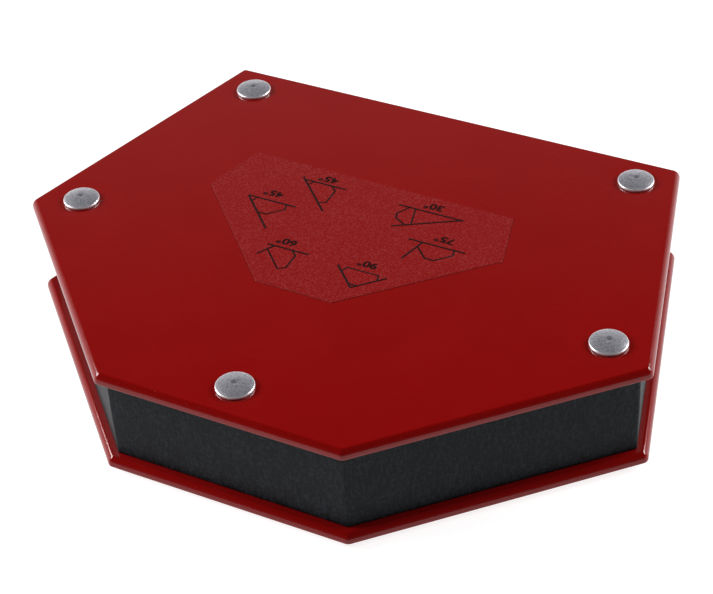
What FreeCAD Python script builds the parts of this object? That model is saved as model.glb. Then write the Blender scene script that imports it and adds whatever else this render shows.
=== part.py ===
import FreeCAD, Part
import math
import os

# Welding magnet holder: two steel plates riveted over a foam core that carries stacked block magnets.
# Millimetres and degrees. +X runs along the long back side, +Y points to the back, +Z is up.
# The origin is under the middle of the outline, on the plane that the lower rivet heads stand on.

# Outline of the plates: a hexagon mirrored left to right, with a long back side, two short sides
# that flare outwards towards the front, two slopes and a front side. Its sides meet or aim at
# 30, 45, 60, 75, 90 and 135 degrees.
back_side = 120.2
short_side = 74.2
front_side = 60.0
flare_angle = 15.0  # between a short side and the Y axis
slope_angle = 45.0  # between a slope and the X axis

# Steel plates
plate_thickness = 2.4
plate_corner_radius = 1.8
plate_edge_round = 1.0  # rolled edge that blanking leaves on the upper face
rivet_hole_diameter = 5.2

# Foam core between the plates
core_height = 22.2
core_inset = 2.5  # from the plate's edge to the core's wall
core_corner_radius = 1.0
pocket_clearance = 0.2  # around each magnet and each sleeve

# Rivets and the sleeves that keep the plates apart
rivet_shank_diameter = 5.0
head_diameter = 9.0
head_height = 1.5
head_rim_height = 0.5
head_rim_round = 0.25
crown_radius = 1.2  # flat middle of the head
dimple_radius = 0.7  # punch mark in the upper head
dimple_depth = 0.3
sleeve_outer_diameter = 8.0
sleeve_inner_diameter = 5.2

# Rivet places, from the middle of the outline
back_rivet_x = 52.1
back_rivet_y = 51.3
side_rivet_x = 67.5
side_rivet_y = -6.85
front_rivet_y = -51.4

# Ferrite block magnets, stacked to fill the core's height
magnet_length = 36.0
magnet_width = 18.0
magnet_corner_radius = 0.5
magnet_layers = ["lower", "upper"]
magnet_wall = 3.5  # foam between a magnet and the core's wall
back_magnet_x = 20.0
front_magnet_gap = 3.0  # foam between the front sleeve and the magnet behind it

# Printed film on the upper plate
label_back_side = 68.6
label_short_side = 16.5
label_front_side = 19.6
label_thickness = 0.12
label_corner_radius = 0.6
label_x = -3.3
label_back_y = 26.85
label_turn = -0.6  # stuck on by hand, a little askew

# Levels, from the ground up
bottom_plate_z = head_height
core_z = bottom_plate_z + plate_thickness
top_plate_z = core_z + core_height
label_z = top_plate_z + plate_thickness
total_height = label_z + head_height
magnet_height = core_height / len(magnet_layers)

up = FreeCAD.Vector(0, 0, 1)
same_level = 0.001


def hexagon_size(back, short, front):
    """Half the width over the two side corners, and the depth from back to front."""
    half_width = back / 2 + short * math.sin(math.radians(flare_angle))
    slope_run = half_width - front / 2
    side_depth = short * math.cos(math.radians(flare_angle))
    depth = side_depth + slope_run * math.tan(math.radians(slope_angle))
    return half_width, depth


def hexagon_points(back, short, front, back_y, z):
    """Corners of a holder-shaped hexagon whose back side lies on y = back_y."""
    half_width, depth = hexagon_size(back, short, front)
    side_y = back_y - short * math.cos(math.radians(flare_angle))
    right = [(back / 2, back_y), (half_width, side_y), (front / 2, back_y - depth)]
    left = [(-x, y) for x, y in reversed(right)]
    return [FreeCAD.Vector(x, y, z) for x, y in right + left]


def polygon_face(points):
    return Part.Face(Part.makePolygon(points + points[:1]))


def round_upright_edges(solid, radius):
    upright = [edge for edge in solid.Edges if edge.BoundBox.ZLength > same_level]
    return solid.makeFillet(radius, upright)


def round_edges_at(solid, radius, z):
    """Round every edge that lies on the level z."""
    flat = [edge for edge in solid.Edges if edge.BoundBox.ZLength < same_level]
    level = [edge for edge in flat if abs(edge.BoundBox.ZMin - z) < same_level]
    return solid.makeFillet(radius, level)


def upright_cylinder(diameter, height, x, y, z):
    return Part.makeCylinder(diameter / 2, height, FreeCAD.Vector(x, y, z), up)


def rounded_block(length, width, height, radius):
    """Block centred on the Z axis, standing on z = 0, with its upright edges rounded."""
    corner = FreeCAD.Vector(-length / 2, -width / 2, 0)
    return round_upright_edges(Part.makeBox(length, width, height, corner), radius)


def placed(shape, x, y, z, turn):
    copy = shape.copy()
    copy.rotate(FreeCAD.Vector(0, 0, 0), up, turn)
    copy.translate(FreeCAD.Vector(x, y, z))
    return copy


outline_half_width, outline_depth = hexagon_size(back_side, short_side, front_side)
back_y = outline_depth / 2
side_corner_y = back_y - short_side * math.cos(math.radians(flare_angle))
front_y = -outline_depth / 2

rivet_places = {
    "back_left": (-back_rivet_x, back_rivet_y),
    "back_right": (back_rivet_x, back_rivet_y),
    "side_left": (-side_rivet_x, side_rivet_y),
    "side_right": (side_rivet_x, side_rivet_y),
    "front": (0, front_rivet_y),
}


def magnet_places():
    """Middle of each magnet stack and the turn of its long side."""
    inwards = core_inset + magnet_wall + magnet_width / 2
    flare = math.radians(flare_angle)
    slope = math.radians(slope_angle)
    flare_x = (back_side / 2 + outline_half_width) / 2 - inwards * math.cos(flare)
    flare_y = (back_y + side_corner_y) / 2 - inwards * math.sin(flare)
    slope_x = (outline_half_width + front_side / 2) / 2 - inwards * math.sin(slope)
    slope_y = (side_corner_y + front_y) / 2 + inwards * math.cos(slope)
    front_magnet_y = front_rivet_y + sleeve_outer_diameter / 2 + front_magnet_gap + magnet_width / 2
    return {
        "back_left": (-back_magnet_x, back_y - inwards, 0),
        "back_right": (back_magnet_x, back_y - inwards, 0),
        "side_left": (-flare_x, flare_y, 90 - flare_angle),
        "side_right": (flare_x, flare_y, 90 + flare_angle),
        "slope_left": (-slope_x, slope_y, -slope_angle),
        "slope_right": (slope_x, slope_y, slope_angle),
        "front": (0, front_magnet_y, 0),
    }


def plate(z):
    """Hexagonal plate on the level z, with rivet holes and a rolled edge round its upper face."""
    points = hexagon_points(back_side, short_side, front_side, back_y, z)
    solid = polygon_face(points).extrude(up * plate_thickness)
    solid = round_upright_edges(solid, plate_corner_radius)
    solid = round_edges_at(solid, plate_edge_round, z + plate_thickness)
    for x, y in rivet_places.values():
        solid = solid.cut(upright_cylinder(rivet_hole_diameter, plate_thickness, x, y, z))
    return solid


def foam_core():
    """Foam filler with a pocket for each magnet stack and a hole for each sleeve."""
    points = hexagon_points(back_side, short_side, front_side, back_y, core_z)
    face = polygon_face(points).makeOffset2D(-core_inset)
    solid = round_upright_edges(face.extrude(up * core_height), core_corner_radius)
    pocket_length = magnet_length + 2 * pocket_clearance
    pocket_width = magnet_width + 2 * pocket_clearance
    pocket_corner_radius = magnet_corner_radius + pocket_clearance
    pocket = rounded_block(pocket_length, pocket_width, core_height, pocket_corner_radius)
    for x, y, turn in magnet_places().values():
        solid = solid.cut(placed(pocket, x, y, core_z, turn))
    for x, y in rivet_places.values():
        hole_diameter = sleeve_outer_diameter + 2 * pocket_clearance
        solid = solid.cut(upright_cylinder(hole_diameter, core_height, x, y, core_z))
    return solid


def dome_arc(crown_z, rim_z):
    """Arc in the XZ plane from the flat crown down to the head's rim, level where it leaves the crown."""
    run = head_diameter / 2 - crown_radius
    drop = abs(crown_z - rim_z)
    side = 1 if crown_z > rim_z else -1
    radius = (run**2 + drop**2) / (2 * drop)
    half_sweep = math.asin(run / radius) / 2
    middle_x = crown_radius + radius * math.sin(half_sweep)
    middle_z = crown_z - side * radius * (1 - math.cos(half_sweep))
    crown_edge = FreeCAD.Vector(crown_radius, 0, crown_z)
    middle = FreeCAD.Vector(middle_x, 0, middle_z)
    rim_edge = FreeCAD.Vector(head_diameter / 2, 0, rim_z)
    return Part.Arc(crown_edge, middle, rim_edge).toShape()


def dimple_arc():
    """Arc in the XZ plane from the upper crown down to the bottom of the punch mark."""
    radius = (dimple_radius**2 + dimple_depth**2) / (2 * dimple_depth)
    half_sweep = math.asin(dimple_radius / radius) / 2
    bottom_z = total_height - dimple_depth
    middle_z = bottom_z + radius * (1 - math.cos(half_sweep))
    edge = FreeCAD.Vector(dimple_radius, 0, total_height)
    middle = FreeCAD.Vector(radius * math.sin(half_sweep), 0, middle_z)
    bottom = FreeCAD.Vector(0, 0, bottom_z)
    return Part.Arc(edge, middle, bottom).toShape()


def rivet():
    """Solid rivet on the Z axis: flat-crowned factory head below, punched head above."""
    lower_rim_z = head_height - head_rim_height
    upper_rim_z = total_height - lower_rim_z
    rim = head_diameter / 2
    shank = rivet_shank_diameter / 2
    lower_crown = [(0, 0), (crown_radius, 0)]
    shaft = [(rim, lower_rim_z), (rim, bottom_plate_z), (shank, bottom_plate_z)]
    shaft = shaft + [(shank, label_z), (rim, label_z), (rim, upper_rim_z)]
    upper_crown = [(crown_radius, total_height), (dimple_radius, total_height)]
    axis = [(0, total_height - dimple_depth), (0, 0)]
    edges = [dome_arc(0, lower_rim_z), dome_arc(total_height, upper_rim_z), dimple_arc()]
    for stretch in (lower_crown, shaft, upper_crown, axis):
        corners = [FreeCAD.Vector(x, 0, z) for x, z in stretch]
        edges = edges + Part.makePolygon(corners).Edges
    profile = Part.Face(Part.Wire(Part.__sortEdges__(edges)))
    solid = profile.revolve(FreeCAD.Vector(0, 0, 0), up, 360)
    solid = round_edges_at(solid, head_rim_round, lower_rim_z)
    return round_edges_at(solid, head_rim_round, upper_rim_z)


def sleeve():
    """Tube on the Z axis that spans the core, so the rivet clamps against metal and not foam."""
    outside = upright_cylinder(sleeve_outer_diameter, core_height, 0, 0, core_z)
    return outside.cut(upright_cylinder(sleeve_inner_diameter, core_height, 0, 0, core_z))


def magnet():
    return rounded_block(magnet_length, magnet_width, magnet_height, magnet_corner_radius)


def angle_label():
    """Printed film of much the same outline as the plates, stuck on the upper one."""
    points = hexagon_points(label_back_side, label_short_side, label_front_side, 0, 0)
    film = polygon_face(points).extrude(up * label_thickness)
    film = round_upright_edges(film, label_corner_radius)
    return placed(film, label_x, label_back_y, label_z, label_turn)


def write(name, shape):
    shape.exportStep("parts/" + name + ".step")


os.makedirs("parts", exist_ok=True)

write("bottom_plate", plate(bottom_plate_z))
write("top_plate", plate(top_plate_z))
write("foam_core", foam_core())
write("angle_label", angle_label())

for place, (rivet_x, rivet_y) in rivet_places.items():
    write("rivet_" + place, placed(rivet(), rivet_x, rivet_y, 0, 0))
    write("sleeve_" + place, placed(sleeve(), rivet_x, rivet_y, 0, 0))

for place, (magnet_x, magnet_y, magnet_turn) in magnet_places().items():
    for layer, layer_name in enumerate(magnet_layers):
        magnet_z = core_z + layer * magnet_height
        block = placed(magnet(), magnet_x, magnet_y, magnet_z, magnet_turn)
        write("magnet_" + place + "_" + layer_name, block)
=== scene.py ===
import math

import bmesh
import bpy
from mathutils import Matrix, Quaternion, Vector


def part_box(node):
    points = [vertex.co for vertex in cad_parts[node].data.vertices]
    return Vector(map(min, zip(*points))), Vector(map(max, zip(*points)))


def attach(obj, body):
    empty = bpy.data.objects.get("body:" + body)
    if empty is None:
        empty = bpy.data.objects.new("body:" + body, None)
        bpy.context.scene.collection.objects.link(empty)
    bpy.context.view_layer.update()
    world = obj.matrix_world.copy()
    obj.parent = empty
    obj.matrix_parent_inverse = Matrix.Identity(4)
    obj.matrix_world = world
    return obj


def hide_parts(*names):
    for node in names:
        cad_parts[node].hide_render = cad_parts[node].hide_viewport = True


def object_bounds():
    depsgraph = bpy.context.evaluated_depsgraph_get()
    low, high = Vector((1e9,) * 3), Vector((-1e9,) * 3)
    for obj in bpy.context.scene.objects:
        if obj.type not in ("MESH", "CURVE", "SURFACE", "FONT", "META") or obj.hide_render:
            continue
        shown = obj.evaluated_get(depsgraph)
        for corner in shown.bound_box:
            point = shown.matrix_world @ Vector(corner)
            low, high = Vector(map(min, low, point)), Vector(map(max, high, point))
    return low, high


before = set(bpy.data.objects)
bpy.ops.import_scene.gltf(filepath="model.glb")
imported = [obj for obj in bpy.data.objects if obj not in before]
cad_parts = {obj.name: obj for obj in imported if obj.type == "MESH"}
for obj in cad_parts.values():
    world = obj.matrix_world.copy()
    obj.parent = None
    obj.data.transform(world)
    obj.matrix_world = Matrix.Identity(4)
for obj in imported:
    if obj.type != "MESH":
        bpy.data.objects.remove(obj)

mm = 0.001
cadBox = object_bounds()
nodeBox = {name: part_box(name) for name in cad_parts}
print("frame loaded,", len(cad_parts), "nodes")


# ---- small helpers

def linkObject(name, data):
    made = bpy.data.objects.new(name, data)
    bpy.context.scene.collection.objects.link(made)
    return made


def pointsObject(name, points, edges=(), outward=None):
    # a bare mesh that a node tree reads its points from
    mesh = bpy.data.meshes.new(name)
    mesh.from_pydata([tuple(p) for p in points], list(edges), [])
    if outward:
        directions = mesh.attributes.new("outward", "FLOAT_VECTOR", "POINT")
        directions.data.foreach_set("vector", [value for d in outward for value in d])
    return linkObject(name, mesh)


def addNode(tree, kind, settings=None, inputs=None):
    # one node, its settings, and its inputs, each a value or another node's output
    made = tree.nodes.new(kind)
    for key, value in (settings or {}).items():
        setattr(made, key, value)
    for key, value in (inputs or {}).items():
        if isinstance(value, bpy.types.NodeSocket):
            tree.links.new(value, made.inputs[key])
        else:
            made.inputs[key].default_value = value
    return made


def startTree(name, sockets):
    tree = bpy.data.node_groups.new(name, "GeometryNodeTree")
    for label, kind in sockets.items():
        tree.interface.new_socket(label, in_out="INPUT", socket_type="NodeSocket" + kind)
    tree.interface.new_socket("Geometry", in_out="OUTPUT", socket_type="NodeSocketGeometry")
    return tree, addNode(tree, "NodeGroupInput").outputs


def endTree(tree, geometry, finish):
    real = addNode(tree, "GeometryNodeRealizeInstances", inputs={0: geometry})
    painted = addNode(tree, "GeometryNodeSetMaterial", inputs={0: real.outputs[0], "Material": finish})
    addNode(tree, "NodeGroupOutput", inputs={0: painted.outputs[0]})


def markPoints(tree, geometry, name, value):
    # stores a number on each point, for the finish to read
    made = addNode(tree, "GeometryNodeStoreNamedAttribute", {"data_type": "FLOAT", "domain": "POINT"}, {
        "Geometry": geometry, "Name": name, "Value": value})
    return made.outputs[0]


def weld(tree, geometry):
    made = addNode(tree, "GeometryNodeMergeByDistance", inputs={"Geometry": geometry, "Distance": 1e-6})
    return made.outputs[0]


def smooth(tree, geometry):
    made = addNode(tree, "GeometryNodeSetShadeSmooth", inputs={"Geometry": geometry, "Shade Smooth": True})
    return made.outputs[0]


def growMesh(name, tree, values):
    # runs a tree on an empty carrier and keeps the result as a plain mesh
    carrier = linkObject(name + "Carrier", bpy.data.meshes.new(name + "Carrier"))
    modifier = carrier.modifiers.new("grow", "NODES")
    modifier.node_group = tree
    for item in tree.interface.items_tree:
        if item.in_out == "INPUT":
            modifier[item.identifier] = values[item.name]
    grown = carrier.evaluated_get(bpy.context.evaluated_depsgraph_get())
    mesh = bpy.data.meshes.new_from_object(grown)
    mesh.name = name
    carrier.modifiers.remove(modifier)
    bpy.data.objects.remove(carrier)
    return linkObject(name, mesh)


def closeMesh(piece, gap=1e-7):
    # welds doubles and turns every face outwards
    work = bmesh.new()
    work.from_mesh(piece.data)
    bmesh.ops.remove_doubles(work, verts=work.verts, dist=gap)
    bmesh.ops.recalc_face_normals(work, faces=work.faces)
    work.to_mesh(piece.data)
    work.free()


def cutWith(piece, cutter):
    cut = piece.modifiers.new("cut", "BOOLEAN")
    cut.operation = "DIFFERENCE"
    cut.solver = "EXACT"
    cut.object = cutter
    whole = piece.evaluated_get(bpy.context.evaluated_depsgraph_get())
    mesh = bpy.data.meshes.new_from_object(whole)
    piece.modifiers.remove(cut)
    piece.data = mesh
    bpy.data.objects.remove(cutter)


def blendColours(tree, factor, first, second):
    made = addNode(tree, "ShaderNodeMix", {"data_type": "RGBA"})
    for socket, value in ((0, factor), (6, first), (7, second)):
        if isinstance(value, bpy.types.NodeSocket):
            tree.links.new(value, made.inputs[socket])
        else:
            made.inputs[socket].default_value = (*value, 1) if socket else value
    return made.outputs[2]


def combine(tree, operation, first, second):
    return addNode(tree, "ShaderNodeMath", {"operation": operation}, {0: first, 1: second}).outputs[0]


def combineWhole(tree, operation, first, second):
    made = addNode(tree, "FunctionNodeIntegerMath", {"operation": operation}, {0: first, 1: second})
    return made.outputs[0]


# ---- camera and light

cameraRig = {
    "aim": (10.2 * mm, -13.95 * mm, nodeBox["top_plate"][1].z),
    "azimuth": 28.83,  # degrees round from straight in front, to the right
    "elevation": 38.92,
    "roll": -3.563,
    "distance": 444.5 * mm,
    "lens": 100.24,
}

lightRig = {
    # name: degrees round from the camera, elevation, distance, width, height, power in watts
    "leftPanel": (-105, 30, 1.0, 0.6, 0.42, 13.8),
    "rightPanel": (105, 30, 1.0, 0.6, 0.42, 11.6),
}

studioAir = {
    "air": (0.02, 0.02, 0.022),
    "backdrop": (0.27, 0.26, 0.25),
    "lowBackdrop": (0.9, 0.88, 0.87),
    # degrees up, where each part of the backdrop starts to fade and where it has gone
    "lowTop": (8, 22),
    "backdropTop": (28, 43),
    "frontShare": 0.1,  # how much of the backdrop is left on the camera's side
    "sideBlend": (-0.2, 0.4),  # cosine of the angle from straight behind, where it has faded and is full
}


def awayFrom(azimuth, elevation):
    a = math.radians(azimuth)
    e = math.radians(elevation)
    return Vector((math.sin(a) * math.cos(e), -math.cos(a) * math.cos(e), math.sin(e)))


def placeCamera(rig):
    camera = linkObject("camera", bpy.data.cameras.new("camera"))
    back = awayFrom(rig["azimuth"], rig["elevation"])
    camera.location = Vector(rig["aim"]) + back * rig["distance"]
    camera.rotation_mode = "QUATERNION"
    level = (-back).to_track_quat("-Z", "Y")
    camera.rotation_quaternion = level @ Quaternion((0, 0, 1), math.radians(rig["roll"]))
    camera.data.lens = rig["lens"]
    camera.data.sensor_width = 36
    camera.data.clip_start = 0.01
    bpy.context.scene.camera = camera


def placeLights(rig):
    for name, (sideways, elevation, distance, width, height, power) in rig.items():
        lamp = bpy.data.lights.new(name, "AREA")
        lamp.shape = "RECTANGLE"
        lamp.size = width
        lamp.size_y = height
        lamp.energy = power
        panel = linkObject(name, lamp)
        towards = awayFrom(cameraRig["azimuth"] + sideways, elevation)
        panel.location = towards * distance
        panel.rotation_mode = "QUATERNION"
        panel.rotation_quaternion = (-towards).to_track_quat("-Z", "Y")
        panel.visible_camera = False


def makeWorld(values):
    # dark studio air, with a grey backdrop behind the object and a bright strip low down on it
    world = bpy.data.worlds.new("studio")
    bpy.context.scene.world = world
    world.use_nodes = True
    tree = world.node_tree
    tree.nodes.clear()
    ray = addNode(tree, "ShaderNodeTexCoord").outputs["Generated"]
    height = addNode(tree, "ShaderNodeSeparateXYZ", inputs={0: ray}).outputs["Z"]
    below = []
    for start, end in (values["backdropTop"], values["lowTop"]):
        fade = addNode(tree, "ShaderNodeMapRange", {"interpolation_type": "SMOOTHSTEP"}, {
            "Value": height, "From Min": math.sin(math.radians(start)),
            "From Max": math.sin(math.radians(end)), "To Min": 1.0, "To Max": 0.0})
        below.append(fade.outputs[0])
    behind = addNode(tree, "ShaderNodeVectorMath", {"operation": "DOT_PRODUCT"}, {0: ray})
    behind.inputs[1].default_value = awayFrom(cameraRig["azimuth"] + 180, 0)
    sideStart, sideEnd = values["sideBlend"]
    share = addNode(tree, "ShaderNodeMapRange", {"interpolation_type": "SMOOTHSTEP"}, {
        "Value": behind.outputs["Value"], "From Min": sideStart, "From Max": sideEnd,
        "To Min": values["frontShare"], "To Max": 1.0}).outputs[0]
    tall = combine(tree, "MULTIPLY", below[0], share)
    low = combine(tree, "MULTIPLY", below[1], share)
    grey = blendColours(tree, tall, values["air"], values["backdrop"])
    colour = blendColours(tree, low, grey, values["lowBackdrop"])
    glow = addNode(tree, "ShaderNodeBackground", inputs={"Color": colour, "Strength": 1.0})
    addNode(tree, "ShaderNodeOutputWorld", inputs={0: glow.outputs[0]})


placeCamera(cameraRig)
placeLights(lightRig)
makeWorld(studioAir)
bpy.context.scene.view_settings.view_transform = "Standard"
print("camera and lights placed")


# ---- finishes

def startFinish(name, principled):
    finish = bpy.data.materials.new(name)
    finish.use_nodes = True
    tree = finish.node_tree
    shader = tree.nodes["Principled BSDF"]
    for key, value in principled.items():
        shader.inputs[key].default_value = value
    place = addNode(tree, "ShaderNodeTexCoord").outputs["Object"]
    return finish, tree, shader, place


def noise(tree, place, scale, detail=2.0, roughness=0.5, stretch=(1, 1, 1)):
    # scale counts the features in a metre, and stretch makes them longer along an axis
    shrink = tuple(1 / s for s in stretch)
    spread = addNode(tree, "ShaderNodeMapping", inputs={"Vector": place, "Scale": shrink})
    made = addNode(tree, "ShaderNodeTexNoise", inputs={
        "Vector": spread.outputs[0], "Scale": scale, "Detail": detail, "Roughness": roughness})
    return made.outputs[0]


def remap(tree, value, low, high, toLow, toHigh):
    made = addNode(tree, "ShaderNodeMapRange", inputs={
        "Value": value, "From Min": low, "From Max": high, "To Min": toLow, "To Max": toHigh})
    return made.outputs[0]


def bump(tree, height, depth, strength=1.0, under=None):
    # depth is in metres
    made = addNode(tree, "ShaderNodeBump", inputs={"Height": height, "Distance": depth, "Strength": strength})
    if under:
        tree.links.new(under, made.inputs["Normal"])
    return made.outputs[0]


redPaint = {
    "colour": (0.205, 0.0026, 0.0022),
    "deepColour": (0.195, 0.0022, 0.0018),
    "chipColour": (0.62, 0.56, 0.54),
    "chipAmount": 0.705,  # noise above this is a nick in the rim's paint
    "chipRoughness": 0.5,
    # every size is in features to the metre
    "chipSize": 2600,
    "chipPatchSize": 70,
    "mottleSize": 55,
    "cloudSize": 240,
    "roughness": (0.08, 0.12),
    "peelSize": 900,  # orange peel
    "peelDepth": 0.012 * mm,
    "dustSize": 5200,
    "dustDepth": 0.0012 * mm,
    "faceGloss": 0.5,
    "edgeGloss": 0.33,
}


def makeRedPaint(values):
    finish, tree, shader, place = startFinish("redPaint", {"IOR": 1.5})
    mottle = remap(tree, noise(tree, place, values["mottleSize"], 3.0), 0.35, 0.65, 0, 1)
    paint = blendColours(tree, mottle, values["deepColour"], values["colour"])
    rim = addNode(tree, "ShaderNodeAttribute", {"attribute_name": "rim"}).outputs["Fac"]
    nickNoise = noise(tree, place, values["chipSize"], 4.0, 0.7)
    patch = remap(tree, noise(tree, place, values["chipPatchSize"], 1.0), 0.5, 0.62, 0, 1)
    nick = combine(tree, "GREATER_THAN", nickNoise, values["chipAmount"])
    nick = combine(tree, "MULTIPLY", combine(tree, "MULTIPLY", nick, patch), rim)
    colour = blendColours(tree, nick, paint, values["chipColour"])
    tree.links.new(colour, shader.inputs["Base Color"])
    cloud = noise(tree, place, values["cloudSize"], 3.0)
    rough = remap(tree, cloud, 0.3, 0.7, *values["roughness"])
    rough = combine(tree, "MAXIMUM", rough, combine(tree, "MULTIPLY", nick, values["chipRoughness"]))
    tree.links.new(rough, shader.inputs["Roughness"])
    # the paint lies thinner on the cut edge and mirrors less there
    gloss = remap(tree, rim, 0, 1, values["faceGloss"], values["edgeGloss"])
    tree.links.new(gloss, shader.inputs["Specular IOR Level"])
    peel = bump(tree, noise(tree, place, values["peelSize"], 2.0), values["peelDepth"])
    dust = bump(tree, noise(tree, place, values["dustSize"], 1.0), values["dustDepth"], under=peel)
    tree.links.new(dust, shader.inputs["Normal"])
    return finish


blackFoam = {
    "colour": (0.005, 0.0058, 0.0066),
    "paleColour": (0.0195, 0.0225, 0.0275),
    "cellSize": 2100,
    "cellDepth": 0.06 * mm,
    "streakSize": 2100,
    "streakLength": 5,  # saw streaks run this many times longer upwards than across
    "streakDepth": 0.05 * mm,
    "patchSize": 210,
    "grainSize": 1300,
    "roughness": (0.4, 0.58),
    "gloss": 0.08,
}


def makeBlackFoam(values):
    finish, tree, shader, place = startFinish("blackFoam", {"Specular IOR Level": values["gloss"]})
    cells = addNode(tree, "ShaderNodeTexVoronoi", {"feature": "F1"},
                    {"Vector": place, "Scale": values["cellSize"], "Randomness": 1.0}).outputs["Distance"]
    streaks = noise(tree, place, values["streakSize"], 3.0, 0.7, (1, 1, values["streakLength"]))
    patches = noise(tree, place, values["patchSize"], 4.0, 0.6)
    grain = noise(tree, place, values["grainSize"], 2.0, 0.7)
    streakShade = remap(tree, streaks, 0.38, 0.64, 0.05, 1)
    patchShade = remap(tree, patches, 0.32, 0.68, 0.6, 1)
    mixed = combine(tree, "MULTIPLY", streakShade, patchShade)
    shade = combine(tree, "MULTIPLY", mixed, remap(tree, grain, 0.38, 0.62, 0.25, 1.5))
    colour = blendColours(tree, shade, values["colour"], values["paleColour"])
    tree.links.new(colour, shader.inputs["Base Color"])
    tree.links.new(remap(tree, streaks, 0.3, 0.7, *values["roughness"]), shader.inputs["Roughness"])
    sawn = bump(tree, streaks, values["streakDepth"])
    pores = bump(tree, cells, values["cellDepth"], 0.6, under=sawn)
    tree.links.new(pores, shader.inputs["Normal"])
    return finish


brightRivet = {
    "colour": (0.235, 0.24, 0.28),
    "paleColour": (0.53, 0.52, 0.57),
    # pale colour of the steep rim: a painted highlight
    "rimHighlightColour": (0.8, 0.75, 0.78),
    "rimTilt": (0.88, 0.956),  # upward share of the normal, on the rim and on the dome
    "pitColour": (0.1, 0.1, 0.12),
    "pitRoughness": 0.65,
    "metallic": 0.6,
    "roughness": (0.34, 0.26),
    "grainSize": 2600,
    "dragSize": 2600,
    "dragStretch": 4,
    "dragDepth": 0.02 * mm,
    "pockSize": 1100,
    "pockDepth": 0.02 * mm,
}


def makeBrightRivet(values):
    finish, tree, shader, place = startFinish("brightRivet", {"Metallic": values["metallic"]})
    smudge = noise(tree, place, values["grainSize"], 4.0, 0.65)
    tone = remap(tree, smudge, 0.38, 0.62, 0, 1)
    dome = blendColours(tree, tone, values["colour"], values["paleColour"])
    # the rim, where the normal tilts steeply, is painted brighter than the dome: a painted highlight
    facing = addNode(tree, "ShaderNodeNewGeometry").outputs["True Normal"]
    level = addNode(tree, "ShaderNodeSeparateXYZ", inputs={0: facing}).outputs["Z"]
    steep = addNode(tree, "ShaderNodeMath", {"operation": "ABSOLUTE"}, {0: level}).outputs[0]
    paintedRimHighlight = remap(tree, steep, values["rimTilt"][0], values["rimTilt"][1], 1, 0)
    metal = blendColours(tree, paintedRimHighlight, dome, values["rimHighlightColour"])
    pit = addNode(tree, "ShaderNodeAttribute", {"attribute_name": "pit"}).outputs["Fac"]
    colour = blendColours(tree, pit, metal, values["pitColour"])
    tree.links.new(colour, shader.inputs["Base Color"])
    satin = remap(tree, smudge, 0.3, 0.7, *values["roughness"])
    rough = combine(tree, "MAXIMUM", satin, combine(tree, "MULTIPLY", pit, values["pitRoughness"]))
    tree.links.new(rough, shader.inputs["Roughness"])
    dragged = noise(tree, place, values["dragSize"], 3.0, 0.65, (values["dragStretch"], 1, 1))
    drag = bump(tree, dragged, values["dragDepth"])
    pocks = bump(tree, noise(tree, place, values["pockSize"], 2.0), values["pockDepth"], under=drag)
    tree.links.new(pocks, shader.inputs["Normal"])
    return finish


labelFilm = {
    "colour": (0.195, 0.0026, 0.0026),
    "speckColour": (0.235, 0.019, 0.02),
    # pale colour of the film's upright edges: a painted highlight
    "edgeHighlightColour": (0.42, 0.1, 0.1),
    "speckSize": 2600,
    "speckDepth": 0.01 * mm,
    "cloudSize": 75,
    "roughness": (0.2, 0.32),
    "gloss": 0.4,
}


def makeLabelFilm(values):
    # the film is clear, so it has the paint's colour, under fine pale specks
    finish, tree, shader, place = startFinish("labelFilm", {"Specular IOR Level": values["gloss"]})
    grain = noise(tree, place, values["speckSize"], 1.0, 0.6)
    cloud = remap(tree, noise(tree, place, values["cloudSize"], 2.0), 0.3, 0.7, 0.6, 1)
    specks = combine(tree, "MULTIPLY", remap(tree, grain, 0.44, 0.7, 0, 1), cloud)
    face = blendColours(tree, specks, values["colour"], values["speckColour"])
    facing = addNode(tree, "ShaderNodeNewGeometry").outputs["True Normal"]
    level = addNode(tree, "ShaderNodeSeparateXYZ", inputs={0: facing}).outputs["Z"]
    cutEdge = combine(tree, "LESS_THAN", level, 0.5)  # faces that don't look upwards
    # the upright edges take the pale colour: a painted highlight along the film's edge
    colour = blendColours(tree, cutEdge, face, values["edgeHighlightColour"])
    tree.links.new(colour, shader.inputs["Base Color"])
    tree.links.new(remap(tree, grain, 0.3, 0.7, *values["roughness"]), shader.inputs["Roughness"])
    tree.links.new(bump(tree, grain, values["speckDepth"]), shader.inputs["Normal"])
    return finish


labelInk = {
    "colour": (0.012, 0.005, 0.005),
    "wornColour": (0.035, 0.008, 0.008),
    "wearSize": 3000,
    "wearDepth": 0.004 * mm,
    "roughness": (0.38, 0.5),
    "gloss": 0.03,
}


def makeLabelInk(values):
    finish, tree, shader, place = startFinish("labelInk", {"Specular IOR Level": values["gloss"]})
    wear = noise(tree, place, values["wearSize"], 3.0, 0.7)
    worn = remap(tree, wear, 0.5, 0.8, 0, 1)
    colour = blendColours(tree, worn, values["colour"], values["wornColour"])
    tree.links.new(colour, shader.inputs["Base Color"])
    tree.links.new(remap(tree, wear, 0.3, 0.7, *values["roughness"]), shader.inputs["Roughness"])
    tree.links.new(bump(tree, wear, values["wearDepth"]), shader.inputs["Normal"])
    return finish


# finishes of the hidden pieces: marks run this many times longer along an axis than across it
groundFerrite = {
    "shader": {"Specular IOR Level": 0.4},
    "colours": ((0.022, 0.022, 0.024), (0.055, 0.055, 0.06)),
    "markSize": 2200,
    "markDetail": 3.0,
    "markLength": (12, 1, 1),
    "markDepth": 0.01 * mm,
    "roughness": (0.45, 0.65),
}

drawnTube = {
    "shader": {"Metallic": 1.0},
    "colours": ((0.5, 0.5, 0.51), (0.7, 0.7, 0.71)),
    "markSize": 3600,
    "markDetail": 2.0,
    "markLength": (1, 1, 30),
    "markDepth": 0.008 * mm,
    "roughness": (0.25, 0.42),
}


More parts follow.
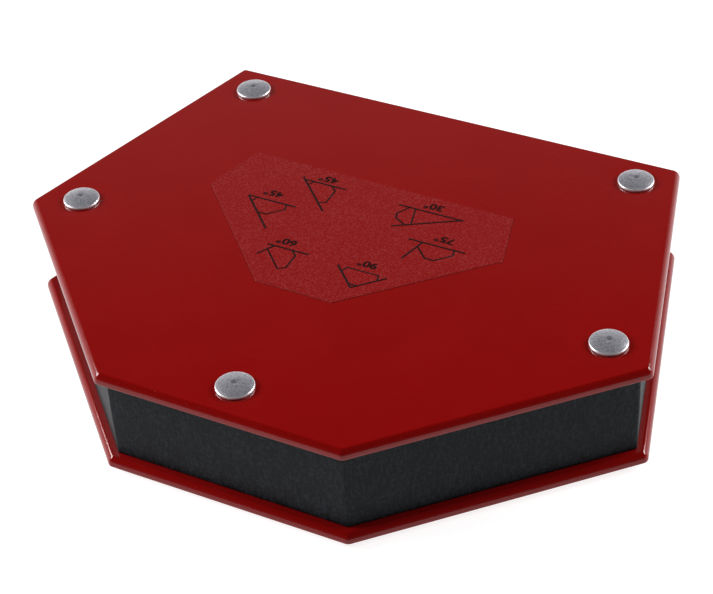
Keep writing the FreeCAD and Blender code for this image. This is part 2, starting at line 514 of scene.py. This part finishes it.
def makeMarkedFinish(name, values):
    finish, tree, shader, place = startFinish(name, values["shader"])
    marks = noise(tree, place, values["markSize"], values["markDetail"], 0.6, values["markLength"])
    tree.links.new(blendColours(tree, marks, *values["colours"]), shader.inputs["Base Color"])
    tree.links.new(remap(tree, marks, 0.3, 0.7, *values["roughness"]), shader.inputs["Roughness"])
    tree.links.new(bump(tree, marks, values["markDepth"]), shader.inputs["Normal"])
    return finish


paleFloor = {
    "colour": (0.33, 0.33, 0.33),
    "paleColour": (0.37, 0.37, 0.37),
    "glow": 0.86,
    "paperSize": 40,
}


def makePaleFloor(values):
    # a lit table: it glows, so shadows on it stay weak
    finish, tree, shader, place = startFinish("paleFloor", {
        "Roughness": 0.8, "Specular IOR Level": 0.0, "Emission Color": (1, 1, 1, 1),
        "Emission Strength": values["glow"]})
    paper = noise(tree, place, values["paperSize"], 3.0)
    colour = blendColours(tree, paper, values["colour"], values["paleColour"])
    tree.links.new(colour, shader.inputs["Base Color"])
    return finish


finishes = {
    "paint": makeRedPaint(redPaint),
    "foam": makeBlackFoam(blackFoam),
    "rivet": makeBrightRivet(brightRivet),
    "film": makeLabelFilm(labelFilm),
    "ink": makeLabelInk(labelInk),
    "ferrite": makeMarkedFinish("ferrite", groundFerrite),
    "tube": makeMarkedFinish("drawnTube", drawnTube),
    "floor": makePaleFloor(paleFloor),
}
print("finishes made")


# ---- the holder's outline

def hexagonCorners(backSide, shortSide, frontSide, backY):
    # long side at the back, short sides flaring 15 degrees, slopes at 45 degrees, front side
    flare = math.radians(15)
    halfWidth = backSide / 2 + shortSide * math.sin(flare)
    sideY = backY - shortSide * math.cos(flare)
    frontY = sideY - (halfWidth - frontSide / 2)
    right = [Vector((backSide / 2, backY)), Vector((halfWidth, sideY)), Vector((frontSide / 2, frontY))]
    return right + [Vector((-p.x, p.y)) for p in reversed(right)]


def outlineSpine(corners, cornerRadius, step, turns):
    # a spine set in by the corner radius, and the outward direction at each of its points
    spine = []
    outward = []
    count = len(corners)
    centres = []
    normals = []
    for i in range(count):
        along = (corners[(i + 1) % count] - corners[i]).normalized()
        normals.append(Vector((-along.y, along.x)))
    for i in range(count):
        before = normals[i - 1]
        after = normals[i]
        bisector = (before + after).normalized()
        centres.append(corners[i] - bisector * cornerRadius / bisector.dot(after))
    for i in range(count):
        before = normals[i - 1]
        sweep = before.angle_signed(normals[i])
        for k in range(turns):
            turned = before.copy()
            turned.rotate(Matrix.Rotation(-sweep * k / turns, 2))
            spine.append(centres[i])
            outward.append(turned)
        run = centres[(i + 1) % count] - centres[i]
        pieces = max(1, round(run.length / step))
        for k in range(pieces):
            spine.append(centres[i] + run * k / pieces)
            outward.append(normals[i])
    return [(p.x, p.y, 0) for p in spine], [(d.x, d.y, 0) for d in outward]


def ringSheetTree():
    # lays a section round an outline: section X scales the spine, Y pushes outwards, Z is height
    tree, given = startTree("ringSheet", {
        "Outline": "Object", "Section": "Object", "Rivet Places": "Object",
        "Wave Height": "Float", "Wave Size": "Float", "Seat Depth": "Float", "Seat Radius": "Float",
        "Grain Height": "Float", "Grain Size": "Float", "Grain Stretch": "Float",
        "Seed": "Float", "Finish": "Material"})

    def geometryOf(label):
        return addNode(tree, "GeometryNodeObjectInfo", inputs={"Object": given[label]}).outputs["Geometry"]

    def countOf(geometry):
        return addNode(tree, "GeometryNodeAttributeDomainSize", inputs={0: geometry}).outputs["Point Count"]

    def pick(geometry, value, index):
        picked = addNode(tree, "GeometryNodeSampleIndex", {"data_type": "FLOAT_VECTOR"})
        tree.links.new(geometry, picked.inputs["Geometry"])
        tree.links.new(value, picked.inputs["Value"])
        tree.links.new(index, picked.inputs["Index"])
        return picked.outputs["Value"]

    def vector(operation, first, second):
        key = "Scale" if operation == "SCALE" else 1
        made = addNode(tree, "ShaderNodeVectorMath", {"operation": operation}, {0: first, key: second})
        return made.outputs[0]

    def raised(height):
        return addNode(tree, "ShaderNodeCombineXYZ", inputs={"Z": height}).outputs[0]

    outline = geometryOf("Outline")
    section = geometryOf("Section")
    around = countOf(outline)
    rows = countOf(section)
    sheet = addNode(tree, "GeometryNodeMeshGrid", inputs={
        "Vertices X": combineWhole(tree, "ADD", around, 1), "Vertices Y": rows}).outputs["Mesh"]
    index = addNode(tree, "GeometryNodeInputIndex").outputs[0]
    here = addNode(tree, "GeometryNodeInputPosition").outputs[0]
    column = combineWhole(tree, "MODULO", combineWhole(tree, "DIVIDE_FLOOR", index, rows), around)
    row = combineWhole(tree, "MODULO", index, rows)
    outwardField = addNode(tree, "GeometryNodeInputNamedAttribute", {"data_type": "FLOAT_VECTOR"},
                           {"Name": "outward"}).outputs[0]
    spine = pick(outline, here, column)
    outward = pick(outline, outwardField, column)
    profile = addNode(tree, "ShaderNodeSeparateXYZ", inputs={0: pick(section, here, row)})
    scaled = vector("SCALE", spine, profile.outputs["X"])
    pushed = vector("SCALE", outward, profile.outputs["Y"])
    placed = vector("ADD", vector("ADD", scaled, pushed), raised(profile.outputs["Z"]))
    rim = combine(tree, "GREATER_THAN", profile.outputs["X"], 0.999)  # only the rim has the whole spine

    def ripple(size, stretch):
        squeezed = addNode(tree, "ShaderNodeVectorMath", {"operation": "DIVIDE"}, {0: placed})
        squeezed.inputs[1].default_value = (1, 1, 1)
        if stretch:
            tall = addNode(tree, "ShaderNodeCombineXYZ", inputs={"X": 1.0, "Y": 1.0, "Z": stretch})
            tree.links.new(tall.outputs[0], squeezed.inputs[1])
        often = combine(tree, "DIVIDE", 1.0, size)
        made = addNode(tree, "ShaderNodeTexNoise", {"noise_dimensions": "4D"}, {
            "Vector": squeezed.outputs[0], "W": given["Seed"], "Scale": often, "Detail": 1.0})
        return combine(tree, "SUBTRACT", made.outputs[0], 0.5)

    wave = combine(tree, "MULTIPLY", ripple(given["Wave Size"], None), given["Wave Height"])
    nearest = addNode(tree, "GeometryNodeProximity", {"target_element": "POINTS"})
    tree.links.new(geometryOf("Rivet Places"), nearest.inputs[0])
    tree.links.new(placed, nearest.inputs["Sample Position"])
    seat = addNode(tree, "ShaderNodeMapRange", {"interpolation_type": "SMOOTHSTEP"}, {
        "Value": nearest.outputs["Distance"], "From Min": 0.0, "From Max": given["Seat Radius"],
        "To Min": given["Seat Depth"], "To Max": 0.0}).outputs[0]
    lift = combine(tree, "ADD", wave, seat)
    roughness = ripple(given["Grain Size"], given["Grain Stretch"])
    grain = combine(tree, "MULTIPLY", combine(tree, "MULTIPLY", roughness, given["Grain Height"]), rim)
    moved = vector("ADD", vector("ADD", placed, raised(lift)), vector("SCALE", outward, grain))
    shaped = addNode(tree, "GeometryNodeSetPosition", inputs={"Geometry": sheet, "Position": moved})
    marked = markPoints(tree, shaped.outputs[0], "rim", rim)
    endTree(tree, smooth(tree, weld(tree, marked)), given["Finish"])
    return tree


def shrinkingRows(rings, reach, z):
    # rows from the middle of a face out to its rim
    return [(i / rings, reach * i / rings, z) for i in range(rings)]


rivetNames = sorted(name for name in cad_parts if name.startswith("rivet_"))
rivetMiddles = [(nodeBox[name][0] + nodeBox[name][1]) / 2 for name in rivetNames]
ringSheet = ringSheetTree()


def placesAt(name, z):
    return pointsObject(name, [(p.x, p.y, z) for p in rivetMiddles])


def dropHelpers(*helpers):
    for helper in helpers:
        bpy.data.objects.remove(helper)


# ---- painted plates

plateSheet = {
    "backSide": 120.2 * mm,
    "shortSide": 74.2 * mm,
    "frontSide": 60 * mm,
    "cornerRadius": 1.8 * mm,
    "rimClearance": 0.003 * mm,  # inside the CAD plate's rim
    # the punched edge: a tight turn off the upper face, then a long sweep down to upright
    "edgeRound": 0.4 * mm,
    "edgeSweep": 2.2 * mm,
    "uprightDepth": 2.0 * mm,
    "burrRound": 0.2 * mm,  # paint softens the burr side
    "faceRings": 38,
    "lastRing": 0.9965,  # a ring close inside the rim keeps the face flat up to it
    "outlineStep": 2.4 * mm,
    "cornerSteps": 8,
    "holeRadius": 2.6 * mm,
    "waveHeight": 0.05 * mm,
    "waveSize": 45 * mm,
    "seatDepth": 0.06 * mm,
    "seatRadius": 9 * mm,
}


def punchedEdge(values):
    # (reach, depth) from where the upper face ends to where the edge stands upright
    tight = values["edgeRound"]
    sweep = values["edgeSweep"]
    meet = math.asin((values["uprightDepth"] - tight) / (sweep - tight))
    tightSteps = 4
    sweepSteps = 14
    points = []
    for k in range(tightSteps + 1):
        turn = math.pi / 2 + (meet - math.pi / 2) * k / tightSteps
        points.append((tight * math.cos(turn), tight * (1 - math.sin(turn))))
    reach, depth = points[-1]
    for k in range(1, sweepSteps + 1):
        turn = meet * (1 - k / sweepSteps)
        points.append((reach + sweep * (math.cos(turn) - math.cos(meet)),
                       depth + sweep * (math.sin(meet) - math.sin(turn))))
    return points


def plateRows(values, low, high):
    # from the middle of the upper face, over the rim, to the middle of the lower face
    rim = values["cornerRadius"] - values["rimClearance"]
    soft = values["burrRound"]
    edge = punchedEdge(values)
    faceRim = rim - edge[-1][0]
    softSteps = 3
    rows = shrinkingRows(values["faceRings"], faceRim, high)
    rows.append((values["lastRing"], faceRim, high))
    rows += [(1, faceRim + reach, high - depth) for reach, depth in edge]
    for k in range(softSteps + 1):
        turn = math.pi / 2 * k / softSteps
        rows.append((1, rim - soft * (1 - math.cos(turn)), low + soft * (1 - math.sin(turn))))
    rows.append((values["lastRing"], rim - soft, low))
    return rows + list(reversed(shrinkingRows(values["faceRings"], rim - soft, low)))


def holeCutters(radius, low, high):
    # round cutters at every rivet, a millimetre longer than the piece at each end
    sides = 48
    depth = high - low + 2 * mm
    work = bmesh.new()
    for middle in rivetMiddles:
        place = Matrix.Translation((middle.x, middle.y, (low + high) / 2))
        bmesh.ops.create_cone(work, cap_ends=True, segments=sides, radius1=radius, radius2=radius,
                              depth=depth, matrix=place)
    mesh = bpy.data.meshes.new("holeCutters")
    work.to_mesh(mesh)
    work.free()
    return linkObject("holeCutters", mesh)


def makePlate(name, node, seed):
    values = plateSheet
    low, high = nodeBox[node]
    corners = hexagonCorners(values["backSide"], values["shortSide"], values["frontSide"], high.y)
    spine, outward = outlineSpine(
        corners, values["cornerRadius"], values["outlineStep"], values["cornerSteps"])
    outline = pointsObject("plateOutline", spine, outward=outward)
    section = pointsObject("plateSection", plateRows(values, low.z, high.z))
    places = placesAt("plateRivets", high.z)
    plate = growMesh(name, ringSheet, {
        "Outline": outline, "Section": section, "Rivet Places": places,
        "Wave Height": values["waveHeight"], "Wave Size": values["waveSize"],
        "Seat Depth": -values["seatDepth"], "Seat Radius": values["seatRadius"],
        "Grain Height": 0.0, "Grain Size": 1.0, "Grain Stretch": 1.0,
        "Seed": seed, "Finish": finishes["paint"]})
    dropHelpers(outline, section, places)
    closeMesh(plate)
    cutWith(plate, holeCutters(values["holeRadius"], low.z, high.z))
    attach(plate, "root")
    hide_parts(node)


makePlate("topPlate", "top_plate", 3.0)
makePlate("bottomPlate", "bottom_plate", 8.0)
print("plates pressed")


# ---- foam core

foamBlock = {
    "inset": 2.5 * mm,
    "cornerRadius": 1.0 * mm,
    "faceRings": 8,
    "lastRing": 0.998,
    "wallStep": 0.42 * mm,
    "outlineStep": 0.75 * mm,
    "cornerSteps": 4,
    "grainHeight": 0.09 * mm,
    "grainSize": 1.1 * mm,
    "grainStretch": 3.5,
    "bulge": 0.12 * mm,  # squeezed out a little at mid height
    "pocketPlay": 1.012,  # pockets are this many times the magnets' size
    "pocketReach": 2.5,  # and their cutters this many times the foam's height
    "sleeveHole": 4.2 * mm,
}


def insetCorners(corners, inset):
    moved = []
    count = len(corners)
    for i in range(count):
        before = (corners[i] - corners[i - 1]).normalized()
        after = (corners[(i + 1) % count] - corners[i]).normalized()
        bisector = (Vector((-before.y, before.x)) + Vector((-after.y, after.x))).normalized()
        moved.append(corners[i] - bisector * inset / bisector.dot(Vector((-after.y, after.x))))
    return moved


def foamRows(values, low, high):
    rim = values["cornerRadius"] - values["grainHeight"] - values["bulge"]
    rows = shrinkingRows(values["faceRings"], rim, high)
    rows.append((values["lastRing"], rim, high))
    steps = round((high - low) / values["wallStep"])
    for k in range(steps + 1):
        part = k / steps
        rows.append((1, rim + values["bulge"] * math.sin(math.pi * part), high + (low - high) * part))
    rows.append((values["lastRing"], rim, low))
    return rows + list(reversed(shrinkingRows(values["faceRings"], rim, low)))


def pocketCutters(values, low, high):
    # the lower magnet of each stack, grown a little and run right through the foam
    play = values["pocketPlay"]
    work = bmesh.new()
    for name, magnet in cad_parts.items():
        if name.startswith("magnet_") and name.endswith("_lower"):
            middle = (nodeBox[name][0] + nodeBox[name][1]) / 2
            tall = values["pocketReach"] * (high - low) / (nodeBox[name][1].z - nodeBox[name][0].z)
            copy = bmesh.new()
            copy.from_mesh(magnet.data)
            bmesh.ops.remove_doubles(copy, verts=copy.verts, dist=1e-6)
            grow = Matrix.Diagonal((play, play, tall, 1))
            copy.transform(Matrix.Translation(middle) @ grow @ Matrix.Translation(-middle))
            spare = bpy.data.meshes.new("pocket")
            copy.to_mesh(spare)
            copy.free()
            work.from_mesh(spare)
            bpy.data.meshes.remove(spare)
    mesh = bpy.data.meshes.new("pocketCutters")
    work.to_mesh(mesh)
    work.free()
    return linkObject("pocketCutters", mesh)


def makeFoam():
    values = foamBlock
    low, high = nodeBox["foam_core"]
    plateBack = nodeBox["top_plate"][1].y
    corners = hexagonCorners(
        plateSheet["backSide"], plateSheet["shortSide"], plateSheet["frontSide"], plateBack)
    spine, outward = outlineSpine(
        insetCorners(corners, values["inset"]), values["cornerRadius"],
        values["outlineStep"], values["cornerSteps"])
    outline = pointsObject("foamOutline", spine, outward=outward)
    section = pointsObject("foamSection", foamRows(values, low.z, high.z))
    places = placesAt("foamRivets", high.z)
    foam = growMesh("foamCore", ringSheet, {
        "Outline": outline, "Section": section, "Rivet Places": places,
        "Wave Height": 0.0, "Wave Size": 1.0, "Seat Depth": 0.0, "Seat Radius": 1.0,
        "Grain Height": values["grainHeight"], "Grain Size": values["grainSize"],
        "Grain Stretch": values["grainStretch"], "Seed": 5.0, "Finish": finishes["foam"]})
    dropHelpers(outline, section, places)
    closeMesh(foam)
    cutWith(foam, pocketCutters(values, low.z, high.z))
    cutWith(foam, holeCutters(values["sleeveHole"], low.z, high.z))
    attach(foam, "root")
    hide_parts("foam_core")


makeFoam()
print("foam cut")


# ---- rivets

rivetHead = {
    "shank": 2.5 * mm,
    "radius": 4.38 * mm,
    "height": 1.5 * mm,
    "rimHeight": 0.42 * mm,
    "rimRound": 0.36 * mm,
    "rimSlope": 19,  # degrees, where the dome meets the rounded rim
    "dimple": 1.1 * mm,
    "dimpleDepth": 0.2 * mm,
    "seat": 0.05 * mm,  # pressed this far into the paint
    "rimTuck": 0.04 * mm,  # how far the rim draws in, half way down
    "seatTuck": 0.16 * mm,  # and where it meets the paint
    "around": 72,
    "hammerHeight": 0.05 * mm,
    "hammerSize": 1.7 * mm,
    "hammerFrom": 0.2 * mm,  # above the plate
}


def headRows(values, plateZ, crownZ, dimpled):
    # from the middle of the crown over the dome to the rim and the shank, as (radius, z)
    side = 1 if crownZ > plateZ else -1
    slope = math.radians(values["rimSlope"])
    bendRadius = values["radius"] - values["rimRound"] * (1 - math.sin(slope))
    bendHeight = values["rimHeight"] + values["rimRound"] * math.cos(slope)
    rows = []
    domeSteps = 32
    for k in range(domeSteps + 1):
        radius = bendRadius * k / domeSteps
        height = values["height"] - (values["height"] - bendHeight) * (k / domeSteps) ** 2
        inPit = min(1, radius / values["dimple"])
        if dimpled:
            height -= values["dimpleDepth"] * (1 - inPit ** 2) ** 2
        rows.append((radius, height))
    bendSteps = 7
    for k in range(1, bendSteps + 1):
        turn = slope + (math.pi / 2 - slope) * k / bendSteps
        rows.append((values["radius"] - values["rimRound"] * (1 - math.sin(turn)),
                     values["rimHeight"] + values["rimRound"] * math.cos(turn)))
    rows.append((values["radius"] - values["rimTuck"], values["rimHeight"] / 2))
    rows.append((values["radius"] - values["seatTuck"], -values["seat"]))
    rows.append((values["shank"], -values["seat"]))
    return [(radius, plateZ + side * height) for radius, height in rows]


def setRivetsTree():
    # turns a profile round, sets one rivet on each place and hammers the heads
    tree, given = startTree("setRivets", {
        "Profile": "Object", "Places": "Object", "Around": "Int", "Tilt": "Float", "Pit Radius": "Float",
        "Hammer Height": "Float", "Hammer Size": "Float", "Hammered Above": "Float",
        "Seed": "Int", "Finish": "Material"})
    profile = addNode(tree, "GeometryNodeObjectInfo", inputs={"Object": given["Profile"]}).outputs["Geometry"]
    places = addNode(tree, "GeometryNodeObjectInfo", inputs={"Object": given["Places"]}).outputs["Geometry"]
    rows = addNode(tree, "GeometryNodeAttributeDomainSize", inputs={0: profile}).outputs["Point Count"]

    columns = combineWhole(tree, "ADD", given["Around"], 1)
    grid = addNode(tree, "GeometryNodeMeshGrid", inputs={"Vertices X": columns, "Vertices Y": rows})
    index = addNode(tree, "GeometryNodeInputIndex").outputs[0]
    here = addNode(tree, "GeometryNodeInputPosition").outputs[0]
    column = combineWhole(tree, "MODULO", combineWhole(tree, "DIVIDE_FLOOR", index, rows), given["Around"])
    row = combineWhole(tree, "MODULO", index, rows)
    picked = addNode(tree, "GeometryNodeSampleIndex", {"data_type": "FLOAT_VECTOR"})
    tree.links.new(profile, picked.inputs["Geometry"])
    tree.links.new(here, picked.inputs["Value"])
    tree.links.new(row, picked.inputs["Index"])
    point = addNode(tree, "ShaderNodeSeparateXYZ", inputs={0: picked.outputs["Value"]})
    angle = combine(tree, "MULTIPLY", combine(tree, "DIVIDE", column, given["Around"]), 2 * math.pi)
    x = combine(tree, "MULTIPLY", point.outputs["X"], combine(tree, "COSINE", angle, 0.0))
    y = combine(tree, "MULTIPLY", point.outputs["X"], combine(tree, "SINE", angle, 0.0))
    turned = addNode(tree, "ShaderNodeCombineXYZ", inputs={"X": x, "Y": y, "Z": point.outputs["Z"]})
    lathe = addNode(tree, "GeometryNodeSetPosition", inputs={
        "Geometry": grid.outputs["Mesh"], "Position": turned.outputs[0]}).outputs[0]
    pit = addNode(tree, "ShaderNodeMapRange", {"interpolation_type": "SMOOTHSTEP"}, {
        "Value": point.outputs["X"], "From Min": 0.0, "From Max": given["Pit Radius"],
        "To Min": 1.0, "To Max": 0.0}).outputs[0]
    onCrown = combine(tree, "GREATER_THAN", point.outputs["Z"], given["Hammered Above"])
    rivet = weld(tree, markPoints(tree, lathe, "pit", combine(tree, "MULTIPLY", pit, onCrown)))

    spots = addNode(tree, "GeometryNodeMeshToPoints", inputs={"Mesh": places}).outputs[0]
    lean = combine(tree, "MULTIPLY", given["Tilt"], math.pi / 180)
    leanBack = combine(tree, "MULTIPLY", lean, -1.0)
    lowest = addNode(tree, "ShaderNodeCombineXYZ", inputs={"X": leanBack, "Y": leanBack, "Z": 0.0})
    highest = addNode(tree, "ShaderNodeCombineXYZ", inputs={"X": lean, "Y": lean, "Z": 2 * math.pi})
    spin = addNode(tree, "FunctionNodeRandomValue", {"data_type": "FLOAT_VECTOR"})
    tree.links.new(lowest.outputs[0], spin.inputs[0])
    tree.links.new(highest.outputs[0], spin.inputs[1])
    tree.links.new(given["Seed"], spin.inputs["Seed"])
    stood = addNode(tree, "GeometryNodeInstanceOnPoints", inputs={
        "Points": spots, "Instance": rivet, "Rotation": spin.outputs[0]}).outputs[0]
    real = addNode(tree, "GeometryNodeRealizeInstances", inputs={0: stood}).outputs[0]

    often = combine(tree, "DIVIDE", 1.0, given["Hammer Size"])
    dents = addNode(tree, "ShaderNodeTexNoise", {"noise_dimensions": "4D"}, {
        "Vector": here, "W": given["Seed"], "Scale": often, "Detail": 1.5}).outputs[0]
    height = addNode(tree, "ShaderNodeSeparateXYZ", inputs={0: here}).outputs["Z"]
    upper = combine(tree, "GREATER_THAN", height, given["Hammered Above"])
    blow = combine(tree, "MULTIPLY", combine(tree, "SUBTRACT", dents, 1.0), given["Hammer Height"])
    dent = combine(tree, "MULTIPLY", blow, upper)
    normal = addNode(tree, "GeometryNodeInputNormal").outputs[0]
    push = addNode(tree, "ShaderNodeVectorMath", {"operation": "SCALE"}, {0: normal, "Scale": dent})
    hammered = addNode(tree, "GeometryNodeSetPosition", inputs={"Geometry": real, "Offset": push.outputs[0]})
    endTree(tree, smooth(tree, hammered.outputs[0]), given["Finish"])
    return tree


def makeRivets():
    values = rivetHead
    top = nodeBox["top_plate"][1].z
    bottom = nodeBox["bottom_plate"][0].z
    crownTop = nodeBox[rivetNames[0]][1].z
    upper = headRows(values, top, crownTop, True)
    lower = headRows(values, bottom, nodeBox[rivetNames[0]][0].z, False)
    rows = lower + list(reversed(upper))
    profile = pointsObject("rivetProfile", [(r, 0, z) for r, z in rows])
    places = placesAt("rivetPlaces", 0)
    rivets = growMesh("rivets", setRivetsTree(), {
        "Profile": profile, "Places": places, "Around": values["around"], "Tilt": 0.0,
        "Pit Radius": values["dimple"],
        "Hammer Height": values["hammerHeight"], "Hammer Size": values["hammerSize"],
        "Hammered Above": top + values["hammerFrom"], "Seed": 4, "Finish": finishes["rivet"]})
    dropHelpers(profile, places)
    closeMesh(rivets)
    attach(rivets, "root")
    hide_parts(*rivetNames)


makeRivets()
print("rivets set")


# ---- print on the label

labelPrint = {
    "lineWidth": 0.49 * mm,
    "inkHeight": 0.012 * mm,
    "layerLift": 0.004 * mm,  # crossing lines are printed over one another
    "longSide": 8.0 * mm,  # the small holders in the pictures
    "shortSide": 1.93 * mm,
    "frontSide": 2.3 * mm,
    "numberHeight": 2.4 * mm,
    "numberStretch": 1.22,
    "numberWeight": 0.036,  # how far the figures' outlines are thickened, as a share of the type size
    "numberCurve": 6,  # steps in each bend of a figure
    "numberCentre": 0.42,  # a number's place is this far along its width
    "middle": 0.45 * mm,
    "backEdge": 59.6 * mm,  # the pictures are laid out from the plate's back side
    # number: (where the small holder's long side is, its turn and scale), lines as (x, y, angle, length),
    # and where the number stands. Millimetres, seen with the back side towards the reader.
    "pictures": [
        ("90", (-7.0, 64.85, 180, 1.0), [(-7.0, 71.2, -135, 8.8), (-7.0, 71.2, -45, 9.0)], (-7.3, 62.2)),
        ("60", (14.4, 68.7, -45, 1.0), [(7.3, 64.2, 0, 10.7), (16.15, 64.2, 60, 4.9)], (13.8, 61.9)),
        ("75", (-18.95, 49.7, 180, 1.0), [(-25.7, 49.7, 0, 14.4), (-14.95, 49.7, 75, 7.6)], (-19.6, 47.0)),
        ("45", (25.15, 49.0, 180, 1.0), [(18.7, 49.0, 0, 12.8), (31.5, 49.0, 135, 14.5)], (25.7, 46.2)),
        ("30", (-8.68, 41.55, 105, 0.77), [(-20.3, 38.57, 0, 16.8), (-19.9, 38.5, 30, 16.7)], (-12.0, 36.3)),
        ("45", (17.44, 42.55, -45, 1.0), [(10.8, 38.05, 0, 11.1), (12.0, 47.99, -45, 15.2)], (16.1, 36.0)),
    ],
}


def onLabel(x, y):
    # the pictures face the back side, so they are turned half round on the plate
    return (labelPrint["middle"] - x * mm, labelPrint["backEdge"] - y * mm)


def pictureStrokes(values):
    # every picture's lines, as points and edges
    points = []
    edges = []
    z = nodeBox["angle_label"][1].z + values["inkHeight"] / 2
    for _, (x, y, turn, scale), lines, _ in values["pictures"]:
        corners = hexagonCorners(values["longSide"], values["shortSide"], values["frontSide"], 0)
        first = len(points)
        for corner in corners:
            turned = corner * scale / mm
            turned.rotate(Matrix.Rotation(math.radians(turn), 2))
            points.append((*onLabel(x + turned.x, y + turned.y), z))
        edges += [(first + i, first + (i + 1) % len(corners)) for i in range(len(corners))]
        for layer, (startX, startY, angle, length) in enumerate(lines, 1):
            a = math.radians(angle)
            level = z + layer * values["layerLift"]
            first = len(points)
            points.append((*onLabel(startX, startY), level))
            points.append((*onLabel(startX + length * math.cos(a), startY + length * math.sin(a)), level))
            edges.append((first, first + 1))
    return points, edges


def inkLinesTree():
    tree, given = startTree("inkLines", {
        "Strokes": "Object", "Line Width": "Float", "Ink Height": "Float", "Finish": "Material"})
    strokes = addNode(tree, "GeometryNodeObjectInfo", inputs={"Object": given["Strokes"]}).outputs["Geometry"]
    paths = addNode(tree, "GeometryNodeMeshToCurve", inputs={"Mesh": strokes}).outputs[0]
    level = addNode(tree, "GeometryNodeSetCurveNormal", {"mode": "Z_UP"}, {"Curve": paths}).outputs[0]
    nib = addNode(tree, "GeometryNodeCurvePrimitiveQuadrilateral", {"mode": "RECTANGLE"}, {
        "Width": given["Line Width"], "Height": given["Ink Height"]}).outputs[0]
    ink = addNode(tree, "GeometryNodeCurveToMesh", inputs={
        "Curve": level, "Profile Curve": nib, "Fill Caps": True}).outputs[0]
    endTree(tree, ink, given["Finish"])
    return tree


def makeInkLines(values):
    points, edges = pictureStrokes(values)
    strokes = pointsObject("strokes", points, edges)
    lines = growMesh("labelLines", inkLinesTree(), {
        "Strokes": strokes, "Line Width": values["lineWidth"], "Ink Height": values["inkHeight"],
        "Finish": finishes["ink"]})
    dropHelpers(strokes)
    closeMesh(lines)
    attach(lines, "root")


def makeNumbers(values):
    work = bmesh.new()
    z = nodeBox["angle_label"][1].z
    for number, _, _, (x, y) in values["pictures"]:
        words = bpy.data.curves.new("number", "FONT")
        words.body = number + "°"
        words.align_x = "LEFT"
        words.offset = values["numberWeight"]
        words.extrude = values["inkHeight"] / 2 / values["numberHeight"]
        words.resolution_u = values["numberCurve"]
        text = linkObject("number", words)
        mesh = bpy.data.meshes.new_from_object(text.evaluated_get(bpy.context.evaluated_depsgraph_get()))
        bpy.data.objects.remove(text)
        tops = [v.co.y for v in mesh.vertices]
        wide = [v.co.x for v in mesh.vertices]
        size = values["numberHeight"] / (max(tops) - min(tops))
        across = min(wide) + (max(wide) - min(wide)) * values["numberCentre"]
        middle = Vector((across, (max(tops) + min(tops)) / 2, 0))
        place = Matrix.Translation((*onLabel(x, y), z + values["inkHeight"] / 2))
        stretch = Matrix.Diagonal((size * values["numberStretch"], size, values["numberHeight"], 1))
        mesh.transform(place @ Matrix.Rotation(math.pi, 4, "Z") @ stretch @ Matrix.Translation(-middle))
        work.from_mesh(mesh)
        bpy.data.meshes.remove(mesh)
    mesh = bpy.data.meshes.new("labelNumbers")
    work.to_mesh(mesh)
    work.free()
    numbers = linkObject("labelNumbers", mesh)
    mesh.materials.append(finishes["ink"])
    closeMesh(numbers)
    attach(numbers, "root")


makeInkLines(labelPrint)
makeNumbers(labelPrint)
print("label printed")


# ---- CAD pieces that keep their own mesh

keptFinishes = {"angle_label": "film", "magnet_": "ferrite", "sleeve_": "tube"}
for name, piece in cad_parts.items():
    for start, finish in keptFinishes.items():
        if name.startswith(start):
            piece.data.materials.clear()
            piece.data.materials.append(finishes[finish])
print("kept pieces finished")


# ---- floor

floorSheet = {
    "size": 6.0,
    "gap": 0.02 * mm,  # below the lowest rivet heads
}


def makeFloor(values):
    half = values["size"] / 2
    corners = [(-half, -half, 0), (half, -half, 0), (half, half, 0), (-half, half, 0)]
    mesh = bpy.data.meshes.new("floor")
    mesh.from_pydata(corners, [], [(0, 1, 2, 3)])
    mesh.materials.append(finishes["floor"])
    floor = linkObject("floor", mesh)
    floor.location.z = cadBox[0].z - values["gap"]


makeFloor(floorSheet)
